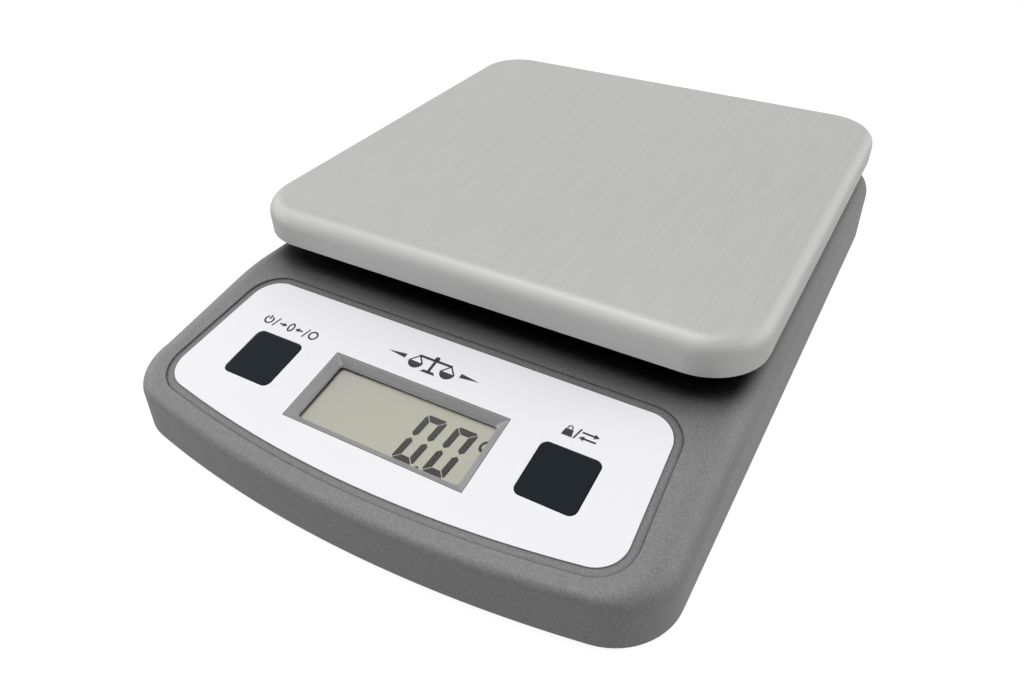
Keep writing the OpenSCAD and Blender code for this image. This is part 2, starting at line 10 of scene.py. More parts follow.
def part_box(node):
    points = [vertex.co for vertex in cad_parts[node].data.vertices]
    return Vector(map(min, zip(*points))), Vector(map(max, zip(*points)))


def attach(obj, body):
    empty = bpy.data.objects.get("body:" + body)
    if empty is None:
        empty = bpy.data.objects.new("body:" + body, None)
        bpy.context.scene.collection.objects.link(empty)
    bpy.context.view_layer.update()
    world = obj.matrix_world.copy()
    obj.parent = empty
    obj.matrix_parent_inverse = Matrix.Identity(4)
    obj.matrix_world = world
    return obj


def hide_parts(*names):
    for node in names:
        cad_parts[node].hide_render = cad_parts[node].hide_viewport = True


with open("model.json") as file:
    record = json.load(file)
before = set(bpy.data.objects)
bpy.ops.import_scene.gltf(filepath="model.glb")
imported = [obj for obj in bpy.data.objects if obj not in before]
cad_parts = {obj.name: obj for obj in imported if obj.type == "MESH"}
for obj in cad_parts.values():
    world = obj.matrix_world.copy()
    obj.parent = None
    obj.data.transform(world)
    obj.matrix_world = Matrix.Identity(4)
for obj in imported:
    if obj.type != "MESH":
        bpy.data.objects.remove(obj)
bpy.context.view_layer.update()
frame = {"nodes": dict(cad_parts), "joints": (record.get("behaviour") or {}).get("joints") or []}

# Lengths in this file are millimetres in the frame's axes, and MM turns them into metres.
MM = 0.001


def box_mm(node):
    low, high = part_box(node)
    return low / MM, high / MM


# ---- Sizes taken from the frame ----

SHELL_LO, SHELL_HI = box_mm("top_housing")
PLATTER_LO, PLATTER_HI = box_mm("weighing_platter")
FOOT_LO, FOOT_HI = box_mm("rubber_feet")
PAD_LO, PAD_HI = box_mm("platter_pads")
KEY_LO, KEY_HI = box_mm("unit_key")
KEY_JOINT = next(j for j in frame["joints"] if j["name"] == "unit_key_press")

HALF_W = SHELL_HI.x
FRONT_Y = SHELL_LO.y
REAR_Y = SHELL_HI.y
DECK_Z = SHELL_HI.z
SHELL_Z = SHELL_LO.z
CELL_Y = (PLATTER_LO.y + PLATTER_HI.y) / 2
KEY_X = (KEY_LO.x + KEY_HI.x) / 2
PANEL_TILT = math.asin(KEY_JOINT["axis"][1])

# ---- Upper shell ----

FRONT_R = 361
CORNER_R = 19
WALL = 2.2
WALL_DRAFT = 0.4
FRONT_FOLD_R = 2.5
SIDE_FOLD_R = 8.5
EDGE_R = 1.2
BEND_HALF = 6
PANEL_Y = -87
PANEL_Z = 23.65
SLOPE = math.tan(PANEL_TILT)
BEND_Y = PANEL_Y + (DECK_Z - PANEL_Z) / SLOPE
SKIN_DROP = WALL / math.cos(PANEL_TILT)
BOSS_R = 3.5
BOSS_Z = 9
BOSS_PLACES = [(s * x, y) for s in (-1, 1) for x, y in ((74.5, -92), (74.5, 8), (70, 104))]
HUB_PLACE = (27.5, CELL_Y)
PANEL = Matrix.Translation((0, PANEL_Y, PANEL_Z)) @ Matrix.Rotation(PANEL_TILT, 4, "X")

# ---- Control panel, with levels along its outward normal ----

RECESS = 0.5
RECESS_LIP = 0.14
LABEL_TOP = -0.2
LABEL_GAP = 2.4
KEY_W = 16.6
KEY_GAP = 0.2
KEY_CORNER = 2
SKIN_UNDER = -WALL
BEZEL_W, BEZEL_H = 56.6, 24.1
BEZEL_LAND = 0.35
WINDOW_W, WINDOW_H = 51.4, 19.5
BEZEL_STEP = -2.1
WINDOW_TOP = -2.4
WINDOW_T = 0.6
PANE_W, PANE_H = 54.4, 22
PANE_PLAY = 0.1
DISPLAY_V = -1.65
DISPLAY_GAP = 0.2
BEZEL_UNDER = -4.2
FLANGE_W, FLANGE_H = 61.4, 30.4
LCD_V = DISPLAY_V + 1.3
LCD_TOP = -3.1
LCD_SPLIT = -3.35
LCD_UNDER = -4.7
LCD_W, LCD_H = 54.2, 25
LCD_LEDGE = 2.4
LCD_PLAY = 0.4
BOARD_TOP = -8.6
POST_PLACES = [(s * 62, v) for s in (-1, 1) for v in (-13, 15)]


# ---- Outlines ----

def arc(cx, cy, r, start, end, steps):
    """Points on a circle arc, ends included; angles in degrees."""
    turns = [math.radians(start + (end - start) * i / steps) for i in range(steps + 1)]
    return [(cx + r * math.cos(a), cy + r * math.sin(a)) for a in turns]


def mirrored(chain):
    """A right-hand chain of points closed by its mirror image."""
    return chain + [(-p[0],) + tuple(p[1:]) for p in reversed(chain)]


def rounded(width, length, radius, steps=8):
    """Rounded rectangle about the origin, anticlockwise."""
    points = []
    for sx, sy, start in ((1, -1, -90), (1, 1, 0), (-1, 1, 90), (-1, -1, 180)):
        cx, cy = sx * (width / 2 - radius), sy * (length / 2 - radius)
        points += arc(cx, cy, radius, start, start + 90, steps)
    return points


def circle(radius, steps=48):
    return arc(0, 0, radius, 0, 360 - 360 / steps, steps - 1)


def level(outline, z, dx=0, dy=0):
    return [(x + dx, y + dy, z) for x, y in outline]


def half_outline(inset):
    """Right half of the shell's outline, front to rear, as (x, y, fold radius)."""
    arc_cy = FRONT_Y + FRONT_R
    corner_x = HALF_W - CORNER_R
    corner_y = arc_cy - math.sqrt((FRONT_R - CORNER_R) ** 2 - corner_x ** 2)
    arc_half = math.degrees(math.asin(corner_x / (FRONT_R - CORNER_R)))
    front_n, corner_n, bend_n = 20, 14, 12
    points = []
    for i in range(front_n):
        a = math.radians((i + 0.5) * arc_half / front_n)
        reach = FRONT_R - inset
        points.append((reach * math.sin(a), arc_cy - reach * math.cos(a), FRONT_FOLD_R))
    for i, p in enumerate(arc(corner_x, corner_y, CORNER_R - inset, arc_half - 90, 0, corner_n)):
        fold = FRONT_FOLD_R + (SIDE_FOLD_R - FRONT_FOLD_R) * i / corner_n
        points.append((*p, fold))
    for i in range(bend_n + 1):
        y = BEND_Y - BEND_HALF + 2 * BEND_HALF * i / bend_n
        points.append((HALF_W - inset, y, SIDE_FOLD_R))
    rear = arc(corner_x, REAR_Y - CORNER_R, CORNER_R - inset, 0, 90, corner_n)
    return points + [(*p, SIDE_FOLD_R) for p in rear]


def top_z(y):
    """Height of the upper surface: sloped panel, a parabolic bend, then the flat deck."""
    if y > BEND_Y + BEND_HALF:
        return DECK_Z
    if y < BEND_Y - BEND_HALF:
        return DECK_Z + SLOPE * (y - BEND_Y)
    return DECK_Z - SLOPE * (BEND_Y + BEND_HALF - y) ** 2 / (4 * BEND_HALF)


def label_outline(grow):
    """Label's outline on the panel: curved bottom edge, splayed sides, straight top."""
    arc_r, bottom, top, corner = 352, -23.7, 27.5, 8.5
    side_angle, side_reach = 3.24, 69.6
    turn = math.radians(side_angle)
    out = Vector((math.cos(turn), math.sin(turn)))
    along = Vector((-out.y, out.x))
    centre = Vector((0, bottom + arc_r))
    reach = side_reach - corner
    drop = math.sqrt((arc_r - corner) ** 2 - (reach - out.dot(centre)) ** 2)
    low = out * reach + along * (along.dot(centre) - drop)
    high_v = top - corner
    high = Vector(((reach - out.y * high_v) / out.x, high_v))
    meet = math.degrees(math.atan2(low.y - centre.y, low.x - centre.x))
    chain = arc(*centre, arc_r + grow, -89.7, meet, 28)
    chain += arc(*low, corner + grow, meet, side_angle, 14)
    chain += arc(*high, corner + grow, side_angle, 90, 14)
    return mirrored(chain)


# ---- Shapes: lists of vertices and faces ----

def loft(loops, ring=False):
    """Skin through closed loops of equal length: capped at both ends, or joined into a ring."""
    count = len(loops[0])
    verts = [tuple(p) for loop in loops for p in loop]
    faces = []
    for j in range(len(loops) - (0 if ring else 1)):
        a, b = j * count, (j + 1) % len(loops) * count
        for i in range(count):
            k = (i + 1) % count
            faces.append((a + i, a + k, b + k, b + i))
    if not ring:
        faces.append(tuple(reversed(range(count))))
        faces.append(tuple(range(len(verts) - count, len(verts))))
    return verts, faces


def slab(outline, z0, z1, dx=0, dy=0):
    return loft([level(outline, z0, dx, dy), level(outline, z1, dx, dy)])


def block(width, length, z0, z1, dx=0, dy=0):
    w, h = width / 2, length / 2
    return slab([(-w, -h), (w, -h), (w, h), (-w, h)], z0, z1, dx, dy)


def lathe(profile, steps=48, dx=0, dy=0):
    """Turned solid from (radius, height) points, bottom to top."""
    return loft([level(circle(r, steps), z, dx, dy) for r, z in profile])


def round_edge(radius, z_top, size, steps=5):
    """Profile of a rounded upper rim, from the wall to the top face, as (radius, height)."""
    quarter = [math.radians(90 * i / steps) for i in range(steps + 1)]
    return [(radius - size * (1 - math.cos(a)), z_top - size * (1 - math.sin(a)))
            for a in quarter]


def round_foot(radius, z_foot, size, steps=5):
    """Profile of a rounded lower rim, from the bottom face to the wall, as (radius, height)."""
    quarter = [math.radians(90 * i / steps) for i in range(steps + 1)]
    return [(radius - size * (1 - math.sin(a)), z_foot + size * (1 - math.cos(a)))
            for a in quarter]


def tube(path, radius, steps=14):
    """Round lead along a path whose corners are eased."""
    points = [Vector(p) for p in path]
    eased = [points[0]]
    for before, corner, after in zip(points, points[1:], points[2:]):
        reach = min(7, (corner - before).length * 0.45, (after - corner).length * 0.45)
        start = corner + (before - corner).normalized() * reach
        end = corner + (after - corner).normalized() * reach
        for i in range(9):
            t = i / 8
            eased.append(start * (1 - t) ** 2 + corner * 2 * t * (1 - t) + end * t ** 2)
    eased.append(points[-1])
    side = Vector((0, 0, 1)).cross(eased[1] - eased[0]).normalized()
    loops = []
    for i, point in enumerate(eased):
        ahead = eased[min(i + 1, len(eased) - 1)] - eased[max(i - 1, 0)]
        ahead.normalize()
        side = (side - ahead * side.dot(ahead)).normalized()
        up = ahead.cross(side)
        turns = [2 * math.pi * k / steps for k in range(steps)]
        loops.append([point + (side * math.cos(a) + up * math.sin(a)) * radius for a in turns])
    return loft(loops)


def moved(shape, matrix):
    return [tuple(matrix @ Vector(v)) for v in shape[0]], shape[1]


def together(shapes):
    """Several shapes as one list of vertices and faces."""
    verts, faces = [], []
    for shape in shapes:
        start = len(verts)
        verts += shape[0]
        faces += [tuple(start + i for i in face) for face in shape[1]]
    return verts, faces


# ---- Objects ----

def make_mesh(name, shape, place=Matrix.Identity(4)):
    verts, faces = moved(shape, place)
    mesh = bpy.data.meshes.new(name)
    mesh.from_pydata([Vector(v) * MM for v in verts], [], faces)
    bm = bmesh.new()
    bm.from_mesh(mesh)
    bmesh.ops.recalc_face_normals(bm, faces=bm.faces)
    bm.to_mesh(mesh)
    bm.free()
    made = bpy.data.objects.new(name, mesh)
    bpy.context.scene.collection.objects.link(made)
    return made


def combine(target, shape, operation, place=Matrix.Identity(4)):
    """Adds a shape to a piece or cuts it away, and keeps the result as the piece's mesh."""
    tool = make_mesh("tool", shape, place)
    modifier = target.modifiers.new("combine", "BOOLEAN")
    modifier.object = tool
    modifier.operation = operation
    modifier.solver = "EXACT"
    graph = bpy.context.evaluated_depsgraph_get()
    result = bpy.data.meshes.new_from_object(target.evaluated_get(graph))
    target.modifiers.clear()
    target.data = result
    bpy.data.objects.remove(tool)


def tidy_planes(piece, angle=0.05):
    """Joins coplanar faces after the cuts."""
    bm = bmesh.new()
    bm.from_mesh(piece.data)
    bmesh.ops.remove_doubles(bm, verts=bm.verts, dist=0.002 * MM)
    bmesh.ops.dissolve_limit(bm, angle_limit=math.radians(angle), verts=bm.verts,
                             edges=bm.edges)
    bm.to_mesh(piece.data)
    bm.free()


def finish_piece(piece, body, materials, stands_for=(), sharp=32):
    """Materials, shading and body of a new piece."""
    mesh = piece.data
    mesh.materials.clear()
    for material in materials:
        mesh.materials.append(material)
    mesh.shade_smooth()
    mesh.set_sharp_from_angle(angle=math.radians(sharp))
    even = piece.modifiers.new("even_normals", "WEIGHTED_NORMAL")
    even.keep_sharp = True
    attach(piece, body)
    if stands_for:
        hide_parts(*stands_for)
    return piece


def zone_faces(piece, belongs, zone=1):
    """Gives a material zone to the faces whose middle and normal, in mm, pass a test."""
    for face in piece.data.polygons:
        if belongs(face.center / MM, face.normal):
            face.material_index = zone


# ---- Materials ----

class Shader:
    """A node material that is filled in step by step."""

    def __init__(self, name, **surface):
        self.material = bpy.data.materials.new(name)
        self.material.use_nodes = True
        self.tree = self.material.node_tree
        self.surface = self.tree.nodes["Principled BSDF"]
        self.place = self.add("ShaderNodeTexCoord").outputs["Object"]
        self.set(**surface)

    def put(self, socket, value):
        if isinstance(value, bpy.types.NodeSocket):
            self.tree.links.new(value, socket)
        else:
            socket.default_value = value

    def set(self, **surface):
        for key, value in surface.items():
            self.put(self.surface.inputs[key.replace("_", " ").title().replace("Ior", "IOR")],
                     (*value, 1) if isinstance(value, tuple) else value)

    def add(self, kind, inputs=(), **settings):
        made = self.tree.nodes.new(kind)
        for key, value in settings.items():
            setattr(made, key, value)
        for key, value in dict(inputs).items():
            self.put(made.inputs[key], value)
        return made

    def noise(self, size, detail=2.0, stretch=(1, 1, 1)):
        """Noise with features about size mm long, drawn out by stretch."""
        scale = tuple(1 / s for s in stretch)
        place = self.add("ShaderNodeMapping", {"Vector": self.place, "Scale": scale})
        found = self.add("ShaderNodeTexNoise", {
            "Vector": place.outputs[0], "Scale": 1 / (size * MM), "Detail": detail})
        return found.outputs[0]

    def flakes(self, size):
        """A random shade for each cell of about size mm."""
        cells = self.add("ShaderNodeTexVoronoi", {
            "Vector": self.place, "Scale": 1 / (size * MM)})
        return self.add("ShaderNodeSeparateColor", {0: cells.outputs["Color"]}).outputs[0]

    def spread(self, value, low, high, start=0.0, end=1.0):
        """Maps value from low..high to start..end, and clamps it."""
        return self.add("ShaderNodeMapRange", {
            "Value": value, "From Min": low, "From Max": high,
            "To Min": start, "To Max": end}).outputs[0]

    def times(self, a, b, operation="MULTIPLY"):
        return self.add("ShaderNodeMath", {0: a, 1: b}, operation=operation).outputs[0]

    def mix(self, share, a, b):
        made = self.add("ShaderNodeMix", data_type="RGBA")
        self.put(made.inputs[0], share)
        for socket, value in ((made.inputs[6], a), (made.inputs[7], b)):
            self.put(socket, (*value, 1) if isinstance(value, tuple) else value)
        return made.outputs[2]

    def axis(self, index):
        split = self.add("ShaderNodeSeparateXYZ", {0: self.place})
        return split.outputs[index]

    def bump(self, height, depth, strength=1.0):
        """Relief of about depth mm."""
        made = self.add("ShaderNodeBump", {
            "Height": height, "Distance": depth * MM, "Strength": strength})
        self.put(self.surface.inputs["Normal"], made.outputs[0])


def textured_plastic(name, dark, light, grain=0.35, roughness=0.5, relief=0.03,
                     metallic=0.0, sparkle=0.0, sheen_level=0.4, gap_shade=0.0):
    """Moulded plastic with a fine spark-eroded grain, and flakes where sparkle is set.

    With gap_shade, shade is painted onto upper faces where something stands within that many mm
    above them."""
    shader = Shader(name, Metallic=metallic, Specular_Ior_Level=sheen_level)
    fine = shader.noise(grain, 3)
    broad = shader.noise(45, 2)
    tone = shader.mix(shader.spread(fine, 0.32, 0.68), dark, light)
    tone = shader.mix(shader.spread(broad, 0.3, 0.7, 0.0, 0.08), tone, light)
    if sparkle:
        glint = shader.spread(shader.flakes(grain * 1.2), 0.86, 1.0, 0.0, sparkle)
        tone = shader.mix(glint, tone, tuple(min(1, c * 2.6) for c in light))
    if gap_shade:
        # Painted shade: ambient occlusion turns upward faces under an overhang almost black and
        # takes away their sheen.
        open_sky = shader.add("ShaderNodeAmbientOcclusion", {"Distance": gap_shade * MM},
                              samples=8).outputs["AO"]
        normal = shader.add("ShaderNodeTexCoord").outputs["Normal"]
        up = shader.add("ShaderNodeSeparateXYZ", {0: normal}).outputs[2]
        shade = shader.times(shader.spread(open_sky, 0.5, 0.95, 1.0, 0.0),
                             shader.spread(up, 0.4, 0.8))
        tone = shader.mix(shade, tone, (0.003, 0.003, 0.003))
        shader.set(Specular_Ior_Level=shader.spread(shade, 0, 1, sheen_level, 0.0))
    shader.set(Base_Color=tone)
    shader.set(Roughness=shader.spread(fine, 0.3, 0.7, roughness - 0.06, roughness + 0.06))
    shader.bump(fine, relief, 0.6)
    return shader.material


def smooth_plastic(name, dark, light, roughness=0.35, patch=20, relief=0.004, **surface):
    """Polished plastic, lacquer or rubber with a faint change of tone."""
    shader = Shader(name, **surface)
    broad = shader.noise(patch, 3)
    fine = shader.noise(0.6, 2)
    shader.set(Base_Color=shader.mix(shader.spread(broad, 0.3, 0.7), dark, light))
    shader.set(Roughness=shader.spread(broad, 0.3, 0.7, roughness - 0.04, roughness + 0.04))
    shader.bump(fine, relief, 0.4)
    return shader.material


def plain_metal(name, dark, light, roughness=0.3, grain=0.5, stretch=(1, 1, 1), relief=0.004):
    """Plated or milled metal, with its tool marks drawn out by stretch."""
    shader = Shader(name, Metallic=1.0)
    marks = shader.noise(grain, 3, stretch)
    cloud = shader.noise(12, 2)
    shader.set(Base_Color=shader.mix(shader.spread(marks, 0.3, 0.7), dark, light))
    shader.set(Roughness=shader.spread(cloud, 0.3, 0.7, roughness - 0.06, roughness + 0.06))
    shader.bump(marks, relief, 0.5)
    return shader.material


def brushed_platter(name="platter_steel"):
    """Stainless sheet brushed front to back; the bent edge and skirt are finer."""
    shader = Shader(name, Metallic=1.0, Anisotropic=0.35)
    long_lines = shader.noise(0.3, 3, (1, 90, 1))
    short_lines = shader.noise(0.6, 2, (1, 28, 1))
    cloud = shader.noise(60, 2)
    up = shader.add("ShaderNodeSeparateXYZ", {
        0: shader.add("ShaderNodeTexCoord").outputs["Normal"]}).outputs[2]
    flat = shader.spread(up, 0.8, 1.0)
    lines = shader.times(shader.times(long_lines, 0.6), shader.times(short_lines, 0.4), "ADD")
    share = shader.times(shader.spread(lines, 0.36, 0.64), flat)
    low = shader.mix(shader.spread(cloud, 0.3, 0.7), (0.625, 0.623, 0.618), (0.64, 0.638, 0.632))
    shader.set(Base_Color=shader.mix(share, low, (0.685, 0.683, 0.678)))
    shader.set(Roughness=shader.spread(flat, 0, 1, 0.62, 0.47))
    grain = shader.add("ShaderNodeCombineXYZ", {0: 0.0, 1: 1.0, 2: 0.0})
    turned = shader.add("ShaderNodeVectorTransform", {0: grain.outputs[0]},
                        vector_type="VECTOR", convert_from="OBJECT", convert_to="WORLD")
    shader.put(shader.surface.inputs["Tangent"], turned.outputs[0])
    shader.bump(shader.times(lines, flat), 0.006, 0.5)
    return shader.material


def clear_sheet(name, tint=(0.995, 0.995, 0.99)):
    """Thin clear pane: it lets light straight through and reflects a little at its face."""
    shader = Shader(name)
    nodes = shader.tree.nodes
    through = shader.add("ShaderNodeBsdfTransparent", {"Color": (*tint, 1)})
    haze = shader.spread(shader.noise(8, 2), 0.3, 0.7, 0.05, 0.09)
    gloss = shader.add("ShaderNodeBsdfGlossy", {"Roughness": haze})
    rim = shader.add("ShaderNodeFresnel", {"IOR": 1.45})
    coated = shader.times(rim.outputs[0], 0.35)
    both = shader.add("ShaderNodeMixShader", {
        0: coated, 1: through.outputs[0], 2: gloss.outputs[0]})
    out = next(n for n in nodes if n.type == "OUTPUT_MATERIAL")
    shader.tree.links.new(both.outputs[0], out.inputs["Surface"])
    nodes.remove(shader.surface)
    return shader.material


def circuit_board(name="board_green"):
    """Solder resist with darker bare stripes between the tracks."""
    shader = Shader(name, Roughness=0.35)
    tracks = shader.add("ShaderNodeTexBrick", {
        "Vector": shader.place, "Scale": 1 / (9 * MM), "Mortar Size": 0.06,
        "Color1": (0.02, 0.16, 0.06, 1), "Color2": (0.024, 0.19, 0.07, 1),
        "Mortar": (0.012, 0.09, 0.035, 1)})
    weave = shader.noise(0.5, 2)
    shader.set(Base_Color=shader.mix(shader.spread(weave, 0.3, 0.7, 0.0, 0.3),
                                     tracks.outputs[0], (0.03, 0.22, 0.09)))
    shader.bump(tracks.outputs[1], 0.03, 0.4)
    return shader.material


def battery_wrap(name="battery_wrap"):
    """Printed metal jacket: dark body with a lighter band at the terminal end."""
    shader = Shader(name, Metallic=0.75, Roughness=0.34)
    along = shader.axis(0)
    band = shader.spread(along, 9.4 * MM, 9.6 * MM)
    scuffs = shader.noise(1.2, 3, (6, 1, 1))
    dark = shader.mix(shader.spread(scuffs, 0.3, 0.7), (0.035, 0.037, 0.04), (0.055, 0.057, 0.06))
    shader.set(Base_Color=shader.mix(band, dark, (0.55, 0.36, 0.14)))
    shader.bump(scuffs, 0.005, 0.3)
    return shader.material


def display_back(name="lcd_back"):
    """Grey-green reflector behind the liquid crystal, with painted shade that darkens it towards
    its left side.
    """
    shader = Shader(name, Roughness=0.62, Specular_Ior_Level=0.3)
    # Painted shade: the base colour grows darker towards the left side.
    side = shader.spread(shader.axis(0), -26 * MM, 26 * MM)
    tone = shader.mix(side, (0.79, 0.775, 0.68), (0.84, 0.825, 0.73))
    specks = shader.noise(0.12, 2)
    shader.set(Base_Color=shader.mix(shader.spread(specks, 0.2, 0.8, 0.0, 0.18), tone,
                                     (0.70, 0.69, 0.60)))
    shader.bump(specks, 0.002, 0.3)
    return shader.material


MATERIALS = {
    # The shell's gap_shade paints shade onto the deck under the platter.
    "shell_grey": textured_plastic("shell_grey", (0.172, 0.172, 0.173), (0.30, 0.30, 0.301),
                                   grain=0.34, roughness=0.5, relief=0.02, metallic=0.25,
                                   sparkle=0.05, gap_shade=26),
    "recess_grey": smooth_plastic("recess_grey", (0.225, 0.223, 0.22), (0.245, 0.243, 0.24),
                                  roughness=0.46),
    "base_black": textured_plastic("base_black", (0.03, 0.031, 0.033), (0.055, 0.056, 0.06),
                                   grain=0.5, roughness=0.55, relief=0.03),
    "label_white": smooth_plastic("label_white", (0.90, 0.90, 0.93), (0.915, 0.915, 0.945),
                                  roughness=0.42, patch=50, Specular_Ior_Level=0.35),
    # Dark brown for the label's side faces: painted shade along its cut edge.
    "label_edge_shade": smooth_plastic("label_edge_shade", (0.06, 0.045, 0.035), (0.09, 0.07, 0.055)),
    "ink": smooth_plastic("ink", (0.024, 0.024, 0.026), (0.034, 0.034, 0.037), patch=6),
    "bezel_grey": textured_plastic("bezel_grey", (0.32, 0.32, 0.322), (0.40, 0.40, 0.402),
                                   grain=0.3, roughness=0.42, relief=0.012, metallic=0.3),
    "window_clear": clear_sheet("window_clear"),
    "lcd_glass": clear_sheet("lcd_glass", (0.995, 0.995, 0.985)),
    "lcd_back": display_back(),
    "lcd_dark": smooth_plastic("lcd_dark", (0.022, 0.022, 0.021), (0.032, 0.031, 0.029),
                               roughness=0.5, patch=5),
    "holder_white": textured_plastic("holder_white", (0.62, 0.62, 0.60), (0.70, 0.70, 0.68)),
    "strip_rubber": smooth_plastic("strip_rubber", (0.52, 0.24, 0.30), (0.62, 0.32, 0.38),
                                   roughness=0.6, patch=0.8),
    "board_green": circuit_board(),
    "chip_black": textured_plastic("chip_black", (0.010, 0.010, 0.011), (0.018, 0.018, 0.02),
                                   grain=0.2, roughness=0.6),
    "component_tan": smooth_plastic("component_tan", (0.42, 0.38, 0.28), (0.55, 0.50, 0.40),
                                    patch=3),
    "switch_black": textured_plastic("switch_black", (0.02, 0.02, 0.022), (0.032, 0.032, 0.035)),
    "key_black": smooth_plastic("key_black", (0.009, 0.0135, 0.018), (0.010, 0.015, 0.020),
                                roughness=0.4, patch=30, Specular_Ior_Level=0.12),
    "plunger_grey": smooth_plastic("plunger_grey", (0.30, 0.31, 0.32), (0.38, 0.39, 0.40)),
    "screw_steel": plain_metal("screw_steel", (0.52, 0.52, 0.53), (0.66, 0.66, 0.66)),
    "beam_aluminium": plain_metal("beam_aluminium", (0.66, 0.66, 0.67), (0.80, 0.80, 0.81),
                                  stretch=(30, 1, 1)),
    "spacer_steel": plain_metal("spacer_steel", (0.45, 0.45, 0.46), (0.56, 0.56, 0.57)),
    "plate_steel": plain_metal("plate_steel", (0.44, 0.45, 0.48), (0.58, 0.59, 0.62), grain=2.5),
    "sealant_white": smooth_plastic("sealant_white", (0.74, 0.74, 0.72), (0.82, 0.82, 0.80),
                                    roughness=0.55, patch=3, relief=0.05),
    "cable_grey": smooth_plastic("cable_grey", (0.42, 0.42, 0.42), (0.52, 0.52, 0.52)),
    "support_black": textured_plastic("support_black", (0.022, 0.022, 0.024),
                                      (0.038, 0.038, 0.041), grain=0.6, roughness=0.5),
    "pad_rubber": smooth_plastic("pad_rubber", (0.66, 0.66, 0.63), (0.76, 0.76, 0.73),
                                 roughness=0.6, patch=4),
    "platter_steel": brushed_platter(),
    "battery_wrap": battery_wrap(),
    "snap_black": textured_plastic("snap_black", (0.012, 0.012, 0.013), (0.022, 0.022, 0.024)),
    "wire_red": smooth_plastic("wire_red", (0.42, 0.02, 0.015), (0.52, 0.03, 0.02)),
    "wire_black": smooth_plastic("wire_black", (0.012, 0.012, 0.013), (0.02, 0.02, 0.022)),
    "foot_rubber": textured_plastic("foot_rubber", (0.014, 0.014, 0.015), (0.026, 0.026, 0.027),
                                    grain=0.4, roughness=0.75, relief=0.03, sheen_level=0.2),
}


# ---- Upper shell ----

@functools.cache
def fold_outline(shift):
    return half_outline(shift)


def shell_solid(inset, drop, z0, edge=0.0):
    """Shell solid moved inward by inset, with its upper surface lowered by drop."""
    folds, hold = 12, 0.5
    loops = []
    for grow, z in round_foot(0, z0, edge) if edge else [(0, z0)]:
        loops.append(mirrored([(x, y, z) for x, y, _ in half_outline(inset - grow)]))
    base = half_outline(0)
    for t in range(folds + 2):
        a = math.radians(90 * min(t, folds) / folds)
        ring = []
        for k, (_, _, fold) in enumerate(base):
            r = max(fold - inset, 0.8)
            shift = inset + WALL_DRAFT + r * (1 - math.cos(a)) + (hold if t > folds else 0)
            x, y, _ = fold_outline(round(shift, 6))[k]
            ring.append((x, y, top_z(y) - drop - r * (1 - math.sin(a))))
        loops.append(mirrored(ring))
    verts, faces = loft(loops)
    faces = faces[:-1]
    count = len(loops[0])
    last = len(verts) - count
    for k in range(count // 2 - 1):
        faces.append((last + k, last + k + 1, last + count - 2 - k, last + count - 1 - k))
    return verts, faces


def flared(outline_at, z0, z1, lip, steps=5):
    """Cutter whose mouth at z1 is rounded outward by lip."""
    loops = [level(outline_at(0), z0)]
    for i in range(steps + 1):
        a = math.radians(90 * i / steps)
        loops.append(level(outline_at(lip * (1 - math.cos(a))), z1 - lip * (1 - math.sin(a))))
    loops.append(level(outline_at(lip), z1 + 4))
    return loft(loops)


def panel_openings(z0):
    """Cutters for the two keys and the display, from level z0 up through the panel."""
    hole = KEY_W + 2 * KEY_GAP
    cuts = [slab(rounded(hole, hole, KEY_CORNER + KEY_GAP), z0, 1, s * KEY_X) for s in (-1, 1)]
    cuts.append(block(BEZEL_W + 2 * DISPLAY_GAP, BEZEL_H + 2 * DISPLAY_GAP, z0, 1, 0, DISPLAY_V))
    return cuts


def make_housing():
    piece = make_mesh("upper_shell", shell_solid(0, 0, SHELL_Z, EDGE_R))
    combine(piece, shell_solid(WALL, SKIN_DROP, SHELL_Z - 1), "DIFFERENCE")
    bosses = [lathe([(BOSS_R, BOSS_Z), (BOSS_R, top_z(y) - SKIN_DROP + 1)], 32, x, y)
              for x, y in BOSS_PLACES]
    combine(piece, together(bosses), "UNION")
    posts = [lathe([(3, BOARD_TOP), (3, SKIN_UNDER + 0.8)], 32, u, v) for u, v in POST_PLACES]
    combine(piece, together(posts), "UNION", PANEL)
    combine(piece, flared(lambda g: label_outline(LABEL_GAP + g), -RECESS, 0, RECESS_LIP),
            "DIFFERENCE", PANEL)
    cuts = panel_openings(-5)
    cuts += [lathe([(0.95, BOARD_TOP - 1), (0.95, -3)], 24, u, v) for u, v in POST_PLACES]
    combine(piece, together(cuts), "DIFFERENCE", PANEL)
    cuts = [lathe([(1.5, BOSS_Z - 1), (1.5, 18)], 24, x, y) for x, y in BOSS_PLACES]
    hub = flared(lambda g: rounded(34 + 2 * g, 23 + 2 * g, 3 + g), DECK_Z - 6, DECK_Z, 0.6)
    cuts.append(moved(hub, Matrix.Translation((*HUB_PLACE, 0))))
    combine(piece, together(cuts), "DIFFERENCE")
    tidy_planes(piece)
    to_panel = PANEL.inverted()

    def in_recess(middle, _):
        at = to_panel @ middle
        return -RECESS - 0.02 < at.z < -RECESS + 0.02 and abs(at.x) < 73 and abs(at.y) < 31

    zone_faces(piece, in_recess)
    finish_piece(piece, "housing",
                 [MATERIALS["shell_grey"], MATERIALS["recess_grey"]], ["top_housing"])


# ---- Label and its print ----

